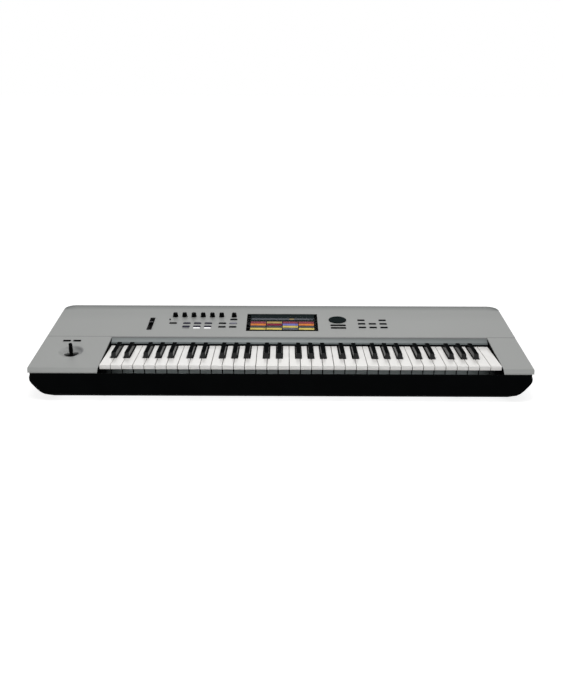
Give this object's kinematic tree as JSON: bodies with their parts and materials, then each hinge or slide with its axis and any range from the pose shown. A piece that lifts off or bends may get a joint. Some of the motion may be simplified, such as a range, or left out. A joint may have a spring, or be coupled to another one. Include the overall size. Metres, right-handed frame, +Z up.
{
  "type": "music workstation",
  "caption": "Keyboard synthesiser with hinged keys, joystick, knobs, slider, value dial, button rows, recessed display and rear sockets in a low wedge case.",
  "frame": {"origin": "on the ground under the middle of the instrument", "axes": "+X along the keys from low to high notes, +Y from the player to the rear, +Z up"},
  "size_m": [1.062, 0.386, 0.116],
  "materials": {
    "panel_gray": "sheet painted satin silver-gray",
    "case_black": "moulded, satin black",
    "key_white": "moulded, glossy white",
    "key_black": "moulded, glossy black",
    "knob_black": "soft black",
    "button_dark": "translucent dark caps",
    "glass": "display cover glass",
    "display_black": "display module",
    "chassis": "dark gray, matt",
    "board_green": "circuit board",
    "steel": "zinc-plated sheet steel",
    "supply_case": "folded sheet",
    "socket_black": "moulded black",
    "rubber": "moulded rubber"
  },
  "bodies": {
    "housing": {"top_panel": "panel_gray", "left_end_cover": "panel_gray", "right_end_cover": "panel_gray", "lower_case": "case_black", "bottom_plate": "steel", "foot_front_left": "rubber", "foot_front_right": "rubber", "foot_rear_left": "rubber", "foot_rear_right": "rubber", "keybed_chassis": "chassis", "key_contact_board": "board_green", "display_glass": "glass", "display_module": "display_black", "panel_board": "board_green", "main_board": "board_green", "power_supply": "supply_case", "joystick_housing": "socket_black", "mains_inlet": "socket_black", "socket_board": "socket_black"},
    "volume_slider": {"volume_slider": "knob_black"},
    "joystick_gimbal": {"joystick_gimbal": "steel"},
    "joystick_stick": {"joystick_stick": "knob_black"},
    "value_dial": {"value_dial": "knob_black"},
    "control_knob_1": {"control_knob_1": "knob_black"},
    "control_knob_2": {"control_knob_2": "knob_black"},
    "control_knob_3": {"control_knob_3": "knob_black"},
    "control_knob_4": {"control_knob_4": "knob_black"},
    "control_knob_5": {"control_knob_5": "knob_black"},
    "control_knob_6": {"control_knob_6": "knob_black"},
    "tempo_knob": {"tempo_knob": "knob_black"},
    "switch_1": {"switch_1": "button_dark"},
    "switch_2": {"switch_2": "button_dark"},
    "power_switch": {"power_switch": "socket_black"},
    "select_button": {"select_button": "button_dark"},
    "mode_buttons_upper": {"mode_buttons_upper": "button_dark"},
    "mode_buttons_lower": {"mode_buttons_lower": "button_dark"},
    "tempo_button": {"tempo_button": "button_dark"},
    "transport_buttons_upper": {"transport_buttons_upper": "button_dark"},
    "transport_buttons_lower": {"transport_buttons_lower": "button_dark"},
    "increase_button": {"increase_button": "button_dark"},
    "decrease_button": {"decrease_button": "button_dark"},
    "page_buttons_top": {"page_buttons_top": "button_dark"},
    "page_buttons_middle": {"page_buttons_middle": "button_dark"},
    "page_buttons_bottom": {"page_buttons_bottom": "button_dark"},
    "keys_c2_to_b2": {"keys_c2_to_b2": "key_white"},
    "keys_c3_to_b3": {"keys_c3_to_b3": "key_white"},
    "keys_c5_to_b5": {"keys_c5_to_b5": "key_white"},
    "keys_c6_to_c7": {"keys_c6_to_c7": "key_white"},
    "key_c4": {"key_c4": "key_white"},
    "key_c_sharp4": {"key_c_sharp4": "key_black"},
    "key_d4": {"key_d4": "key_white"},
    "key_d_sharp4": {"key_d_sharp4": "key_black"},
    "key_e4": {"key_e4": "key_white"},
    "key_f4": {"key_f4": "key_white"},
    "key_f_sharp4": {"key_f_sharp4": "key_black"},
    "key_g4": {"key_g4": "key_white"},
    "key_g_sharp4": {"key_g_sharp4": "key_black"},
    "key_a4": {"key_a4": "key_white"},
    "key_a_sharp4": {"key_a_sharp4": "key_black"},
    "key_b4": {"key_b4": "key_white"}
  },
  "joints": [
    {"name": "key_c4_dip", "type": "hinge", "parent": "housing", "child": "key_c4", "pos_m": [-0.0407, 0.022, 0.07], "axis": [1, 0, 0], "range_deg": [0, 2.9], "stiffness_Nm_per_rad": 1.2, "springref_deg": -4.76},
    {"name": "key_c_sharp4_dip", "type": "hinge", "parent": "housing", "child": "key_c_sharp4", "pos_m": [-0.03, 0.022, 0.07], "axis": [1, 0, 0], "range_deg": [0, 2.9], "stiffness_Nm_per_rad": 1.2, "springref_deg": -4.76},
    {"name": "keys_c2_to_b2_dip", "type": "hinge", "parent": "housing", "child": "keys_c2_to_b2", "pos_m": [-0.3, 0.022, 0.07], "axis": [1, 0, 0], "range_deg": [0, 2.9], "stiffness_Nm_per_rad": 14, "springref_deg": -4.76},
    {"name": "joystick_side_tilt", "type": "hinge", "parent": "housing", "child": "joystick_gimbal", "pos_m": [-0.458, -0.09469, 0.06224], "axis": [0, 0.9938, 0.1115], "range_deg": [-20, 20], "stiffness_Nm_per_rad": 0.15},
    {"name": "joystick_fore_tilt", "type": "hinge", "parent": "joystick_gimbal", "child": "joystick_stick", "pos_m": [-0.458, -0.09469, 0.06224], "axis": [1, 0, 0], "range_deg": [-20, 20], "stiffness_Nm_per_rad": 0.12},
    {"name": "volume_slide", "type": "slide", "parent": "housing", "child": "volume_slider", "axis": [0, 0.9938, 0.1115], "range_m": [-0.038, 0.02]},
    {"name": "value_dial_turn", "type": "hinge", "parent": "housing", "child": "value_dial", "pos_m": [0.1333, 0.09598, 0.10375], "axis": [0, -0.1115, 0.9938], "continuous": true},
    {"name": "control_knob_1_turn", "type": "hinge", "parent": "housing", "child": "control_knob_1", "pos_m": [-0.2534, 0.11744, 0.10616], "axis": [0, -0.1115, 0.9938], "range_deg": [-150, 150]},
    {"name": "tempo_knob_turn", "type": "hinge", "parent": "housing", "child": "tempo_knob", "pos_m": [-0.1128, 0.11744, 0.10616], "axis": [0, -0.1115, 0.9938], "range_deg": [-150, 150]},
    {"name": "switch_1_press", "type": "slide", "parent": "housing", "child": "switch_1", "axis": [0, 0.1115, -0.9938], "range_m": [0, 0.0012], "stiffness_N_per_m": 1000, "springref_m": -0.0003},
    {"name": "select_button_press", "type": "slide", "parent": "housing", "child": "select_button", "axis": [0, 0.1115, -0.9938], "range_m": [0, 0.0012], "stiffness_N_per_m": 1000, "springref_m": -0.0003},
    {"name": "mode_buttons_upper_press", "type": "slide", "parent": "housing", "child": "mode_buttons_upper", "axis": [0, 0.1115, -0.9938], "range_m": [0, 0.0012], "stiffness_N_per_m": 1000, "springref_m": -0.0003},
    {"name": "increase_button_press", "type": "slide", "parent": "housing", "child": "increase_button", "axis": [0, 0.1115, -0.9938], "range_m": [0, 0.0012], "stiffness_N_per_m": 1000, "springref_m": -0.0003},
    {"name": "page_buttons_bottom_press", "type": "slide", "parent": "housing", "child": "page_buttons_bottom", "axis": [0, 0.1115, -0.9938], "range_m": [0, 0.0012], "stiffness_N_per_m": 1000, "springref_m": -0.0003},
    {"name": "power_switch_press", "type": "slide", "parent": "housing", "child": "power_switch", "axis": [0, -1, 0], "range_m": [0, 0.003], "stiffness_N_per_m": 600, "springref_m": -0.0005},
    {"name": "keys_c3_to_b3_dip", "type": "hinge", "parent": "housing", "child": "keys_c3_to_b3", "pos_m": [-0.13, 0.022, 0.07], "axis": [1, 0, 0], "range_deg": [0, 2.9], "stiffness_Nm_per_rad": 14, "springref_deg": -4.76},
    {"name": "keys_c5_to_b5_dip", "type": "hinge", "parent": "housing", "child": "keys_c5_to_b5", "pos_m": [0.2, 0.022, 0.07], "axis": [1, 0, 0], "range_deg": [0, 2.9], "stiffness_Nm_per_rad": 14, "springref_deg": -4.76},
    {"name": "keys_c6_to_c7_dip", "type": "hinge", "parent": "housing", "child": "keys_c6_to_c7", "pos_m": [0.37, 0.022, 0.07], "axis": [1, 0, 0], "range_deg": [0, 2.9], "stiffness_Nm_per_rad": 15.5, "springref_deg": -4.76},
    {"name": "key_d4_dip", "type": "hinge", "parent": "housing", "child": "key_d4", "pos_m": [-0.0172, 0.022, 0.07], "axis": [1, 0, 0], "range_deg": [0, 2.9], "stiffness_Nm_per_rad": 1.2, "springref_deg": -4.76},
    {"name": "key_d_sharp4_dip", "type": "hinge", "parent": "housing", "child": "key_d_sharp4", "pos_m": [-0.002, 0.022, 0.07], "axis": [1, 0, 0], "range_deg": [0, 2.9], "stiffness_Nm_per_rad": 1.2, "springref_deg": -4.76},
    {"name": "key_e4_dip", "type": "hinge", "parent": "housing", "child": "key_e4", "pos_m": [0.0063, 0.022, 0.07], "axis": [1, 0, 0], "range_deg": [0, 2.9], "stiffness_Nm_per_rad": 1.2, "springref_deg": -4.76},
    {"name": "key_f4_dip", "type": "hinge", "parent": "housing", "child": "key_f4", "pos_m": [0.0298, 0.022, 0.07], "axis": [1, 0, 0], "range_deg": [0, 2.9], "stiffness_Nm_per_rad": 1.2, "springref_deg": -4.76},
    {"name": "key_f_sharp4_dip", "type": "hinge", "parent": "housing", "child": "key_f_sharp4", "pos_m": [0.0387, 0.022, 0.07], "axis": [1, 0, 0], "range_deg": [0, 2.9], "stiffness_Nm_per_rad": 1.2, "springref_deg": -4.76},
    {"name": "key_g4_dip", "type": "hinge", "parent": "housing", "child": "key_g4", "pos_m": [0.0533, 0.022, 0.07], "axis": [1, 0, 0], "range_deg": [0, 2.9], "stiffness_Nm_per_rad": 1.2, "springref_deg": -4.76},
    {"name": "key_g_sharp4_dip", "type": "hinge", "parent": "housing", "child": "key_g_sharp4", "pos_m": [0.065, 0.022, 0.07], "axis": [1, 0, 0], "range_deg": [0, 2.9], "stiffness_Nm_per_rad": 1.2, "springref_deg": -4.76},
    {"name": "key_a4_dip", "type": "hinge", "parent": "housing", "child": "key_a4", "pos_m": [0.0768, 0.022, 0.07], "axis": [1, 0, 0], "range_deg": [0, 2.9], "stiffness_Nm_per_rad": 1.2, "springref_deg": -4.76},
    {"name": "key_a_sharp4_dip", "type": "hinge", "parent": "housing", "child": "key_a_sharp4", "pos_m": [0.092, 0.022, 0.07], "axis": [1, 0, 0], "range_deg": [0, 2.9], "stiffness_Nm_per_rad": 1.2, "springref_deg": -4.76},
    {"name": "key_b4_dip", "type": "hinge", "parent": "housing", "child": "key_b4", "pos_m": [0.1003, 0.022, 0.07], "axis": [1, 0, 0], "range_deg": [0, 2.9], "stiffness_Nm_per_rad": 1.2, "springref_deg": -4.76},
    {"name": "switch_2_press", "type": "slide", "parent": "housing", "child": "switch_2", "axis": [0, 0.1115, -0.9938], "range_m": [0, 0.0012], "stiffness_N_per_m": 1000, "springref_m": -0.0003},
    {"name": "decrease_button_press", "type": "slide", "parent": "housing", "child": "decrease_button", "axis": [0, 0.1115, -0.9938], "range_m": [0, 0.0012], "stiffness_N_per_m": 1000, "springref_m": -0.0003},
    {"name": "mode_buttons_lower_press", "type": "slide", "parent": "housing", "child": "mode_buttons_lower", "axis": [0, 0.1115, -0.9938], "range_m": [0, 0.0012], "stiffness_N_per_m": 1000, "springref_m": -0.0003},
    {"name": "tempo_button_press", "type": "slide", "parent": "housing", "child": "tempo_button", "axis": [0, 0.1115, -0.9938], "range_m": [0, 0.0012], "stiffness_N_per_m": 1000, "springref_m": -0.0003},
    {"name": "transport_buttons_upper_press", "type": "slide", "parent": "housing", "child": "transport_buttons_upper", "axis": [0, 0.1115, -0.9938], "range_m": [0, 0.0012], "stiffness_N_per_m": 1000, "springref_m": -0.0003},
    {"name": "transport_buttons_lower_press", "type": "slide", "parent": "housing", "child": "transport_buttons_lower", "axis": [0, 0.1115, -0.9938], "range_m": [0, 0.0012], "stiffness_N_per_m": 1000, "springref_m": -0.0003},
    {"name": "page_buttons_top_press", "type": "slide", "parent": "housing", "child": "page_buttons_top", "axis": [0, 0.1115, -0.9938], "range_m": [0, 0.0012], "stiffness_N_per_m": 1000, "springref_m": -0.0003},
    {"name": "page_buttons_middle_press", "type": "slide", "parent": "housing", "child": "page_buttons_middle", "axis": [0, 0.1115, -0.9938], "range_m": [0, 0.0012], "stiffness_N_per_m": 1000, "springref_m": -0.0003},
    {"name": "control_knob_2_turn", "type": "hinge", "parent": "housing", "child": "control_knob_2", "pos_m": [-0.23126, 0.11744, 0.10616], "axis": [0, -0.1115, 0.9938], "range_deg": [-150, 150]},
    {"name": "control_knob_3_turn", "type": "hinge", "parent": "housing", "child": "control_knob_3", "pos_m": [-0.20912, 0.11744, 0.10616], "axis": [0, -0.1115, 0.9938], "range_deg": [-150, 150]},
    {"name": "control_knob_4_turn", "type": "hinge", "parent": "housing", "child": "control_knob_4", "pos_m": [-0.18698, 0.11744, 0.10616], "axis": [0, -0.1115, 0.9938], "range_deg": [-150, 150]},
    {"name": "control_knob_5_turn", "type": "hinge", "parent": "housing", "child": "control_knob_5", "pos_m": [-0.16484, 0.11744, 0.10616], "axis": [0, -0.1115, 0.9938], "range_deg": [-150, 150]},
    {"name": "control_knob_6_turn", "type": "hinge", "parent": "housing", "child": "control_knob_6", "pos_m": [-0.1427, 0.11744, 0.10616], "axis": [0, -0.1115, 0.9938], "range_deg": [-150, 150]}
  ]
}
